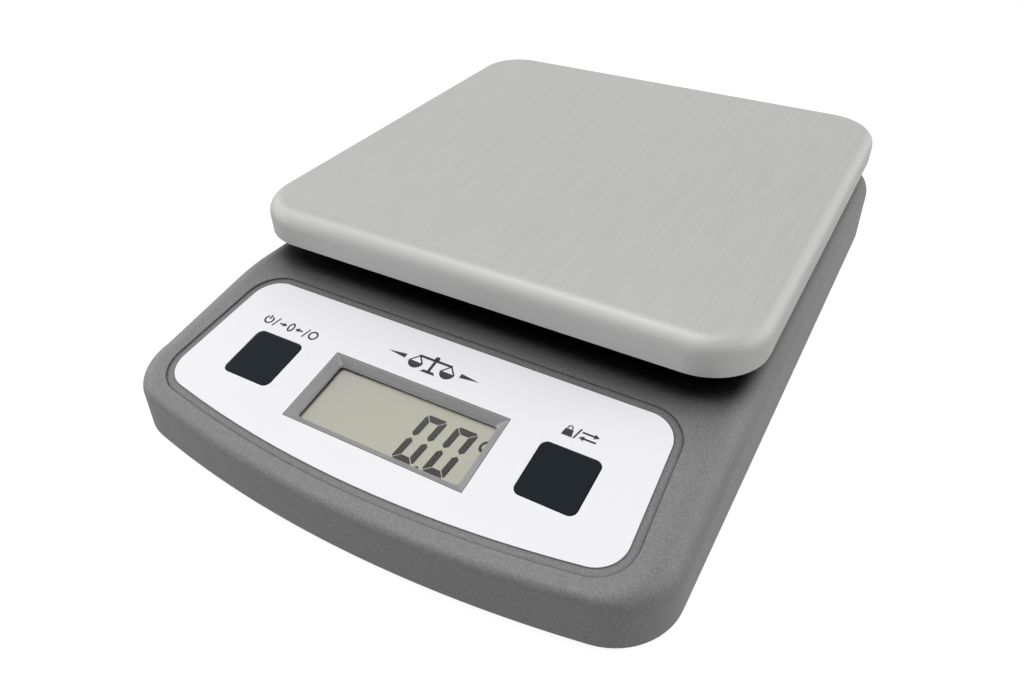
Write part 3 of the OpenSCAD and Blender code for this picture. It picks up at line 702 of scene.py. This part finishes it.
def make_label():
    edge = 0.08
    loops = [level(label_outline(0), -RECESS)]
    for r, z in round_edge(0, LABEL_TOP, edge, 3):
        loops.append(level(label_outline(r), z))
    loops.append(level(label_outline(-edge - 0.3), LABEL_TOP))
    piece = make_mesh("control_label", loft(loops), PANEL)
    combine(piece, together(panel_openings(-2)), "DIFFERENCE", PANEL)
    tidy_planes(piece)
    out = PANEL.to_3x3() @ Vector((0, 0, 1))
    # The side faces get the dark brown colour, painted shade along the label's cut edge.
    zone_faces(piece, lambda _, normal: abs(normal.dot(out)) < 0.4)
    piece.name = "label_film"
    finish_piece(piece, "housing",
                 [MATERIALS["label_white"], MATERIALS["label_edge_shade"]], ["control_label"])


INK_T = 0.03
STROKE_W = 0.56


def ink(points, dx=0.0, dy=0.0):
    """Printed patch on the label."""
    return slab(points, LABEL_TOP + 0.005, LABEL_TOP + INK_T, dx, dy)


def stroke(a, b, width):
    """Outline of a straight stroke."""
    a, b = Vector(a), Vector(b)
    side = Vector((a.y - b.y, b.x - a.x)).normalized() * width / 2
    return [tuple(a + side), tuple(a - side), tuple(b - side), tuple(b + side)]


def ring_stroke(radius, width, start, end, steps=20):
    """Outline of an open round stroke."""
    return (arc(0, 0, radius + width / 2, start, end, steps)
            + arc(0, 0, radius - width / 2, end, start, steps))


def power_symbol(dx, dy, r=1.35, w=STROKE_W):
    return [ink(ring_stroke(r, w, 125, 415), dx, dy),
            ink(stroke((0, 0.2), (0, r + 0.45), w), dx, dy)]


def half_zero(side, rx=0.85, ry=1.45, w=STROKE_W):
    """Half of an oval zero."""
    turns = [math.radians(-90 + 180 * i / 12) for i in range(13)]
    outer = [(side * (rx + w / 2) * math.cos(a), (ry + w / 2) * math.sin(a)) for a in turns]
    inner = [(side * (rx - w / 2) * math.cos(a), (ry - w / 2) * math.sin(a)) for a in turns]
    return outer + inner[::-1]


def tare_symbol(dx, dy, w=STROKE_W):
    """Two arrows that point at a zero."""
    parts = []
    for s in (-1, 1):
        parts.append(ink(half_zero(s), dx, dy))
        parts.append(ink(stroke((s * 4.3, 0), (s * 2.9, 0), w), dx, dy))
        parts.append(ink([(s * 1.6, 0), (s * 3.0, 0.8), (s * 3.0, -0.8)], dx, dy))
    return parts


def off_symbol(dx, dy, r=1.35, w=STROKE_W):
    return [ink(ring_stroke(r, w, 0, 180), dx, dy), ink(ring_stroke(r, w, 180, 360), dx, dy)]


def swap_symbol(dx, dy, w=STROKE_W):
    """Two opposed arrows, for the change of unit."""
    parts = []
    for s in (-1, 1):
        y = 0.85 * s
        parts.append(ink(stroke((-s * 2.2, y), (s * 1.2, y), w), dx, dy))
        parts.append(ink([(s * 2.5, y), (s * 1.1, y + 0.8), (s * 1.1, y - 0.8)], dx, dy))
    return parts


def weight_symbol(dx, dy, size):
    """Plain calibration weight: a tapered block with a ring on top."""
    block_points = [(-size, -size), (size, -size), (0.72 * size, 0.45 * size),
                    (-0.72 * size, 0.45 * size)]
    return [ink(block_points, dx, dy),
            ink(ring_stroke(0.42 * size, 0.22 * size, -28, 208), dx, dy + 0.72 * size)]


def slash(dx, dy, w=0.46):
    return ink(stroke((-0.45, -1.7), (0.45, 1.7), w), dx, dy)


def balance_symbol(dx, dy):
    """Pan balance with a tapered rule on each side."""
    parts = [ink(stroke((0, -2.6), (0, 2.3), 0.9), dx, dy),
             ink(stroke((-5.4, 1.75), (5.4, 1.75), 0.8), dx, dy),
             ink(arc(0, 2.5, 0.8, 0, 330, 11), dx, dy),
             ink([(-2.4, -3.1), (2.4, -3.1), (1.6, -2.2), (-1.6, -2.2)], dx, dy)]
    for s in (-1, 1):
        pan = [(s * 5.2 + x, y - 0.6) for x, y in arc(0, 0, 2.3, 180, 360, 14)]
        parts.append(ink(pan, dx, dy))
        for k in (-1, 1):
            parts.append(ink(stroke((s * 5.2, 1.7), (s * 5.2 + k * 2.1, -0.7), 0.44), dx, dy))
        rule = [(s * 9.0, 0.75), (s * 15.0, 0.0), (s * 9.0, -0.75)]
        parts.append(ink(rule, dx, dy))
    return parts


def make_print():
    left_v, right_v = 12.8, 13.6
    parts = power_symbol(-56.2, left_v) + [slash(-53.4, left_v)]
    parts += tare_symbol(-47.6, left_v) + [slash(-41.9, left_v)]
    parts += off_symbol(-39.2, left_v)
    parts += weight_symbol(43.6, right_v - 0.2, 1.5) + [slash(46.0, right_v)]
    parts += swap_symbol(49.2, right_v)
    parts += balance_symbol(-0.3, 17.6)
    piece = make_mesh("label_print", together(parts), PANEL)
    finish_piece(piece, "housing", [MATERIALS["ink"]])


# ---- Display ----

def make_bezel():
    """Frame with sloped inner faces, a step round the opening, and a flange under the skin."""
    step_w, step_h, rim = WINDOW_W + 0.7, WINDOW_H + 0.7, 0.12
    land_w, land_h = BEZEL_W - 2 * BEZEL_LAND, BEZEL_H - 2 * BEZEL_LAND
    ledge_z, glass_z = BEZEL_STEP - 0.12, LCD_TOP + 0.05
    open_v = DISPLAY_V - 0.15
    profile = [
        (LCD_W + LCD_PLAY, LCD_H + LCD_PLAY, 0.3, BEZEL_UNDER, LCD_V),
        (LCD_W + LCD_PLAY, LCD_H + LCD_PLAY, 0.3, glass_z, LCD_V),
        (PANE_W + PANE_PLAY, PANE_H + PANE_PLAY, 0.3, glass_z, DISPLAY_V),
        (PANE_W + PANE_PLAY, PANE_H + PANE_PLAY, 0.3, WINDOW_TOP, DISPLAY_V),
        (WINDOW_W, WINDOW_H, 1.1, WINDOW_TOP, open_v),
        (WINDOW_W, WINDOW_H, 1.1, ledge_z - 0.08, open_v),
        (WINDOW_W + 0.1, WINDOW_H + 0.1, 1.15, ledge_z, open_v),
        (step_w - 0.1, step_h - 0.1, 1.4, ledge_z, open_v),
        (step_w, step_h, 1.45, ledge_z + 0.08, open_v),
        (step_w, step_h, 1.45, BEZEL_STEP + 0.1, open_v),
        (step_w + 0.15, step_h + 0.15, 1.45, BEZEL_STEP + 0.2, open_v),
        (land_w, land_h, 0.12, LABEL_TOP - 0.04, DISPLAY_V),
        (land_w + 0.16, land_h + 0.16, 0.12, LABEL_TOP, DISPLAY_V),
        (BEZEL_W - rim, BEZEL_H - rim, 0.12, LABEL_TOP, DISPLAY_V),
        (BEZEL_W, BEZEL_H, 0.18, LABEL_TOP - rim, DISPLAY_V),
        (BEZEL_W, BEZEL_H, 0.18, SKIN_UNDER, DISPLAY_V),
        (FLANGE_W, FLANGE_H, 0.5, SKIN_UNDER, LCD_V),
        (FLANGE_W, FLANGE_H, 0.5, BEZEL_UNDER, LCD_V),
    ]
    loops = [level(rounded(w, h, r, 8), z, 0, v) for w, h, r, z, v in profile]
    piece = make_mesh("display_frame", loft(loops, ring=True), PANEL)
    finish_piece(piece, "housing", [MATERIALS["bezel_grey"]], ["display_bezel"],
                 sharp=22)


def pane(width, height, z0, z1, v, edge=0.12):
    """Glass sheet with ground edges, centred at height v on the panel."""
    loops = []
    for shrink, z in ((edge, z0), (0, z0 + edge), (0, z1 - edge), (edge, z1)):
        loops.append(level(rounded(width - 2 * shrink, height - 2 * shrink, 0.25, 3), z, 0, v))
    return loft(loops)


DIGIT_W = 6.7
DIGIT_H = 15.8
DIGIT_SLANT = 0.1
DIGIT_V = -3.3
BAR = 2.0
DIGIT_PLACES = (5.25, 14.75)
POINT_PLACE = 13.4
UNIT_PLACE = 24.9
UNIT_RISE = 13.1


def zero_bars():
    """The six lit bars of a seven-bar zero, as upright outlines from its lower left corner."""
    gap, cut, nib = 0.16, 0.75, 0.35
    w, h, t, m = DIGIT_W, DIGIT_H, BAR, DIGIT_H / 2
    top = [(cut / 2 + gap, h - cut / 2), (cut + gap, h), (w - cut - gap, h),
           (w - cut / 2 - gap, h - cut / 2), (w - t - gap, h - t), (t + gap, h - t)]
    left = [(cut / 2, h - cut / 2 - gap), (0, h - cut - gap), (0, m + t * 0.62),
            (t * 0.5, m + nib), (t, m + t * 0.62), (t, h - t - gap)]

    def flip_x(points):
        return [(w - x, y) for x, y in points]

    def flip_y(points):
        return [(x, h - y) for x, y in points]

    return [top, left, flip_x(left), flip_y(top), flip_y(left), flip_y(flip_x(left))]


def lcd_mark(points, at, z0, z1):
    """A dark area of the display, slanted like the digits."""
    v0 = DIGIT_V - DIGIT_H / 2
    leaned = [(at + x + DIGIT_SLANT * (y - DIGIT_H / 2), v0 + y) for x, y in points]
    return slab(leaned, z0, z1)


def make_display():
    window = make_mesh("window_pane", pane(PANE_W, PANE_H, WINDOW_TOP - WINDOW_T, WINDOW_TOP,
                                           DISPLAY_V), PANEL)
    finish_piece(window, "housing", [MATERIALS["window_clear"]],
                 ["display_window"])
    front = make_mesh("lcd_front_glass", pane(LCD_W, LCD_H, LCD_SPLIT + 0.03, LCD_TOP, LCD_V,
                                              edge=0.06), PANEL)
    finish_piece(front, "housing", [MATERIALS["lcd_glass"]], ["lcd_panel"])
    back = make_mesh("lcd_rear_glass", pane(LCD_W, LCD_H - LCD_LEDGE, LCD_UNDER, LCD_SPLIT,
                                            LCD_V - LCD_LEDGE / 2), PANEL)
    finish_piece(back, "housing", [MATERIALS["lcd_back"]])
    z0, z1 = LCD_SPLIT + 0.005, LCD_SPLIT + 0.025
    marks = [lcd_mark(bar, at, z0, z1) for at in DIGIT_PLACES for bar in zero_bars()]
    marks.append(lcd_mark(rounded(1.3, 1.3, 0.6, 4), POINT_PLACE, z0, z1))
    ring = [(x * 0.8, y + UNIT_RISE) for x, y in ring_stroke(1.5, 0.95, 20, 380)]
    marks.append(lcd_mark(ring, UNIT_PLACE, z0, z1))
    dark = make_mesh("lcd_segments", together(marks), PANEL)
    finish_piece(dark, "housing", [MATERIALS["lcd_dark"]])


# ---- Keys ----

def make_key(side, name, node, body):
    """Flush square cap on a flange, with the stem that works the switch."""
    edge = 0.3
    loops = [(18.6, 0.4, -3.2), (18.6, 0.4, SKIN_UNDER), (KEY_W, KEY_CORNER, SKIN_UNDER)]
    for r, z in round_edge(0, LABEL_TOP, edge, 4):
        loops.append((KEY_W + 2 * r, KEY_CORNER + r, z))
    loops.append((KEY_W - 2 * edge - 1.2, KEY_CORNER - edge, LABEL_TOP - 0.01))
    rings = [level(rounded(w, w, r), z, side * KEY_X) for w, r, z in loops]
    piece = make_mesh(name, loft(rings), PANEL)
    stem = lathe([(1.7, -4.6), (2, -4.3), (2, -3.0)], 32, side * KEY_X)
    combine(piece, stem, "UNION", PANEL)
    finish_piece(piece, body, [MATERIALS["key_black"]], [node])


# ---- Platter, pads and feet ----

def make_platter():
    """Pressed sheet: pressed line, bent edge, skirt with a rounded rim, and its underside."""
    sheet, corner, bend, line = 0.8, 17.5, 5, 7.8
    width = PLATTER_HI.x - PLATTER_LO.x
    length = PLATTER_HI.y - PLATTER_LO.y
    top, rim = PLATTER_HI.z, PLATTER_LO.z
    loops = []

    def ring(inset, z):
        outline = rounded(width - 2 * inset, length - 2 * inset, max(corner - inset, 0.4), 14)
        loops.append(level(outline, z, 0, CELL_Y))

    def bent(r, first, last, steps):
        for i in range(steps + 1):
            a = math.radians(first + (last - first) * i / steps)
            ring(bend - r * math.cos(a), top - bend + r * math.sin(a))

    ring(line + 1.6, top)
    for shift, drop in ((0.5, 0), (0.36, 0.01), (0.2, 0.04), (0, 0.05), (-0.2, 0.04),
                        (-0.36, 0.01), (-0.5, 0)):
        ring(line + shift, top - drop)
    ring(bend + 0.6, top)
    bent(bend, 90, 0, 16)
    for a in range(0, 181, 30):
        turn = math.radians(a)
        ring(sheet / 2 * (1 - math.cos(turn)), rim + sheet / 2 * (1 - math.sin(turn)))
    bent(bend - sheet, 0, 90, 12)
    ring(bend + 0.8, top - sheet)
    piece = make_mesh("platter_sheet", loft(loops))
    finish_piece(piece, "platter", [MATERIALS["platter_steel"]],
                 ["weighing_platter"])


def make_pads():
    """Four soft pads with domed tops."""
    radius, reach = 5, 0.9
    top, seat = PAD_HI.z, PAD_LO.z
    profile = [(radius - 0.3, seat), (radius, seat + 0.3)] + round_edge(radius, top - 0.12, reach)
    profile += [(2.6, top - 0.03), (1.2, top)]
    x = PAD_HI.x - radius
    y = (PAD_HI.y - PAD_LO.y) / 2 - radius
    pads = [lathe(profile, 40, sx * x, CELL_Y + sy * y) for sx in (-1, 1) for sy in (-1, 1)]
    piece = make_mesh("soft_pads", together(pads))
    finish_piece(piece, "platform", [MATERIALS["pad_rubber"]], ["platter_pads"])


def make_feet():
    """Four rubber feet with a ring groove in the sole."""
    radius = 7
    top = FOOT_HI.z
    sole = [(1.0, 0.0), (3.2, 0.0), (3.45, 0.1), (3.7, 0.45), (4.3, 0.45), (4.55, 0.1),
            (4.8, 0.0)]
    rim = [(radius - 0.9 + 0.9 * math.sin(a), 0.9 - 0.9 * math.cos(a))
           for a in [math.radians(15 * i) for i in range(7)]]
    profile = sole + rim + [(radius, top - 0.25), (radius - 0.25, top)]
    front_y, back_y = FOOT_LO.y + radius, FOOT_HI.y - radius
    front_x, back_x = FOOT_HI.x - radius, 58
    places = [(s * x, y) for s in (-1, 1) for x, y in ((front_x, front_y), (back_x, back_y))]
    piece = make_mesh("foot_set", together([lathe(profile, 56, x, y) for x, y in places]))
    finish_piece(piece, "housing", [MATERIALS["foot_rubber"]], ["rubber_feet"])


# ---- Leads inside the shell ----

def panel_point(u, v, w):
    return PANEL @ Vector((u, v, w))


def make_leads():
    x0, box_y, low = 24.85, 80, -12.7
    for s, name in ((-1, "black"), (1, "red")):
        end = panel_point(40 + 2 * s, 14.5, low)
        path = [(x0 + 0.8, box_y + 2 * s, 12), (35, box_y + 2 * s, 12),
                (54 + 2 * s, box_y - 12, 8.2), (54 + 2 * s, -50, 8.2),
                (end.x, end.y + 6, end.z - 2), (end.x, end.y + 0.8, end.z)]
        piece = make_mesh("lead_" + name, tube(path, 0.8))
        finish_piece(piece, "housing", [MATERIALS["wire_" + name]],
                     ["battery_wires"])
    end = panel_point(-40, 14.5, low)
    y0 = CELL_Y - 12.7 / 2 - 1.4
    path = [(-15, y0, 12.9), (-34, y0, 11.9), (-52, 4, 8.4), (-52, -50, 8.4),
            (end.x, end.y + 6, end.z - 2), (end.x, end.y + 1.3, end.z)]
    piece = make_mesh("gauge_cable", tube(path, 1.3))
    finish_piece(piece, "housing", [MATERIALS["cable_grey"]], ["load_cell_cable"])


# ---- CAD nodes that are shown as they are ----

KEPT_NODES = {
    "bottom_cover": ("base_black", 0.3), "lcd_holder": ("holder_white", 0.15),
    "elastomer_connector": ("strip_rubber", 0.15), "main_board": ("board_green", 0.1),
    "controller_chip": ("chip_black", 0.15), "board_components": ("component_tan", 0.1),
    "key_switches": ("switch_black", 0.15), "tare_plunger": ("plunger_grey", 0.15),
    "unit_plunger": ("plunger_grey", 0.15), "board_screws": ("screw_steel", 0.1),
    "load_cell": ("beam_aluminium", 0.3), "gauge_coating": ("sealant_white", 0.3),
    "lower_spacer": ("spacer_steel", 0.25), "upper_spacer": ("spacer_steel", 0.25),
    "lower_cell_screws": ("screw_steel", 0.12), "upper_cell_screws": ("screw_steel", 0.2),
    "stiffening_plate": ("plate_steel", 0.2), "overload_stop": ("screw_steel", 0.15),
    "stop_nut": ("screw_steel", 0.15), "platform_support": ("support_black", 0.35),
    "battery_door": ("base_black", 0.25), "battery": ("battery_wrap", 0.4),
    "battery_snap": ("snap_black", 0.4), "housing_screws": ("screw_steel", 0.15),
}


def dress(node, material, edge):
    """Material and softened edges of a CAD node; its mesh stays as it is."""
    kept = frame["nodes"][node]
    kept.data.materials.clear()
    kept.data.materials.append(MATERIALS[material])
    if "custom_normal" in kept.data.attributes:
        kept.data.attributes.remove(kept.data.attributes["custom_normal"])
    kept.data.shade_smooth()
    weld = kept.modifiers.new("weld", "WELD")
    weld.merge_threshold = 0.005 * MM
    planes = kept.modifiers.new("planes", "DECIMATE")
    planes.decimate_type = "DISSOLVE"
    planes.angle_limit = math.radians(0.5)
    soft = kept.modifiers.new("soft_edges", "BEVEL")
    soft.width = edge * MM
    soft.segments = 2
    soft.limit_method = "ANGLE"
    soft.angle_limit = math.radians(35)
    kept.modifiers.new("even_normals", "WEIGHTED_NORMAL")


# ---- Stage ----

CAMERA_AT = Vector((105.37, -207.52, 168.19))
CAMERA_AZIMUTH = math.radians(30.22)
CAMERA_ELEVATION = math.radians(37.76)
CAMERA_ROLL = math.radians(-0.79)
CAMERA_LENS = 28.42


def make_camera():
    data = bpy.data.cameras.new("camera")
    data.lens = CAMERA_LENS
    data.sensor_width = 36
    data.clip_start = 0.01
    camera = bpy.data.objects.new("camera", data)
    bpy.context.scene.collection.objects.link(camera)
    turn = (Matrix.Rotation(CAMERA_AZIMUTH, 4, "Z")
            @ Matrix.Rotation(math.pi / 2 - CAMERA_ELEVATION, 4, "X")
            @ Matrix.Rotation(CAMERA_ROLL, 4, "Z"))
    camera.matrix_world = Matrix.Translation(CAMERA_AT * MM) @ turn
    bpy.context.scene.camera = camera


# Places and sizes of the lights are metres, and their powers are watts.
LIGHT_TARGET = (0, -0.02, 0.03)
BOX_SIZE = (0.6, 0.45)
BOX_MIRRORED_SIZE = (1.4, 0.8)
BOX_MATTE_SHARE = 0.5


def area_light(name, at, width, height, power, mirrored=True):
    data = bpy.data.lights.new(name, "AREA")
    data.shape = "RECTANGLE"
    data.size, data.size_y = width, height
    data.energy = power
    light = bpy.data.objects.new(name, data)
    bpy.context.scene.collection.objects.link(light)
    light.location = at
    light.visible_glossy = mirrored
    light.rotation_euler = (Vector(LIGHT_TARGET) - Vector(at)).to_track_quat("-Z", "Y").to_euler()


def side_box(name, at, power):
    """Side light: a small box for matt surfaces, and a wide faint one for mirror images."""
    area_light(name, at, *BOX_MIRRORED_SIZE, power * (1 - BOX_MATTE_SHARE))
    area_light(name + "_matte", at, *BOX_SIZE, power * BOX_MATTE_SHARE, False)


FLOOR_SEEN = 0.92
FLOOR_MIRRORED = 0.4
FLOOR_BOUNCE = 0.06


def make_floor():
    """White sweep under the object, lit from within, and clear when seen from below."""
    floor = make_mesh("floor", ([(x, y, 0) for x, y in circle(4000, 96)], [tuple(range(96))]))
    shader = Shader("floor_white", Roughness=0.8, Emission_Color=(1.0, 1.0, 1.0))
    shader.set(Base_Color=shader.mix(shader.noise(300, 2), (0.19, 0.19, 0.19), (0.21, 0.21, 0.21)))
    ray = shader.add("ShaderNodeLightPath").outputs
    glow = shader.spread(ray["Is Diffuse Ray"], 0, 1, FLOOR_MIRRORED, FLOOR_BOUNCE)
    seen = shader.times(ray["Is Camera Ray"], FLOOR_SEEN - FLOOR_MIRRORED)
    shader.set(Emission_Strength=shader.times(glow, seen, "ADD"))
    below = shader.add("ShaderNodeNewGeometry").outputs["Backfacing"]
    clear = shader.times(below, ray["Is Shadow Ray"], "MAXIMUM")
    both = shader.add("ShaderNodeMixShader", {
        0: clear, 1: shader.surface.outputs[0],
        2: shader.add("ShaderNodeBsdfTransparent").outputs[0]})
    out = next(n for n in shader.tree.nodes if n.type == "OUTPUT_MATERIAL")
    shader.tree.links.new(both.outputs[0], out.inputs["Surface"])
    shader.material.cycles.emission_sampling = "NONE"
    floor.data.materials.append(shader.material)


DARK_SIDE = Vector((0.33, -0.90, -0.28)).normalized()
ROOM_BRIGHT = 0.75
ROOM_DARK = 0.05
ROOM_MIRRORED = 0.7


def make_world():
    """White room whose light falls off towards the camera; seen directly it is plain white."""
    world = bpy.data.worlds.new("studio")
    world.use_nodes = True
    tree = world.node_tree

    def node(kind, **inputs):
        made = tree.nodes.new("ShaderNode" + kind)
        for key, value in inputs.items():
            socket = made.inputs[int(key[1:])] if key[1:].isdigit() else made.inputs[key]
            if isinstance(value, bpy.types.NodeSocket):
                tree.links.new(value, socket)
            else:
                socket.default_value = value
        return made

    place = node("TexCoord").outputs["Generated"]
    facing = node("VectorMath", _0=place, _1=DARK_SIDE)
    facing.operation = "DOT_PRODUCT"
    fall = node("MapRange", _0=facing.outputs["Value"], _1=-0.6, _2=0.7, _3=ROOM_BRIGHT,
                _4=ROOM_DARK)
    fall.interpolation_type = "SMOOTHSTEP"
    ray = node("LightPath").outputs
    height = node("SeparateXYZ", _0=place).outputs["Z"]
    ceiling = node("MapRange", _0=height, _1=0.15, _2=0.4, _3=0.0, _4=ROOM_MIRRORED)
    mirrored = node("Math", _0=fall.outputs[0], _1=ceiling.outputs[0])
    mirrored.operation = "MAXIMUM"
    soft = node("Mix", _0=ray["Is Diffuse Ray"], _2=mirrored.outputs[0], _3=fall.outputs[0])
    seen = node("Mix", _0=ray["Is Camera Ray"], _2=soft.outputs[0], _3=1.0)
    tree.links.new(seen.outputs[0], tree.nodes["Background"].inputs["Strength"])
    tree.nodes["Background"].inputs["Color"].default_value = (1, 1, 1, 1)
    world.cycles.sampling_method = "NONE"
    bpy.context.scene.world = world
    bpy.context.scene.view_settings.view_transform = "Standard"


def make_lights():
    overhead = (-0.2, -0.35, 1.05)
    area_light("overhead", overhead, 0.9, 0.7, 2.55)
    area_light("overhead_matte", overhead, 0.5, 0.4, 2.2, False)
    side_box("left_box", (-1.15, -0.3, 0.42), 5.8)
    side_box("right_box", (1.05, 0.5, 0.45), 6.0)
    area_light("under_box", (0.2, -0.3, -1.0), 0.6, 0.6, 7.0, False)


# ---- Assembly ----

make_housing()
make_label()
make_print()
make_bezel()
make_display()
make_key(-1, "left_key_cap", "tare_key", "tare_button")
make_key(1, "right_key_cap", "unit_key", "unit_button")
make_platter()
make_pads()
make_feet()
make_leads()
for kept_node, (kept_material, kept_edge) in KEPT_NODES.items():
    dress(kept_node, kept_material, kept_edge)
make_floor()
make_world()
make_lights()
make_camera()
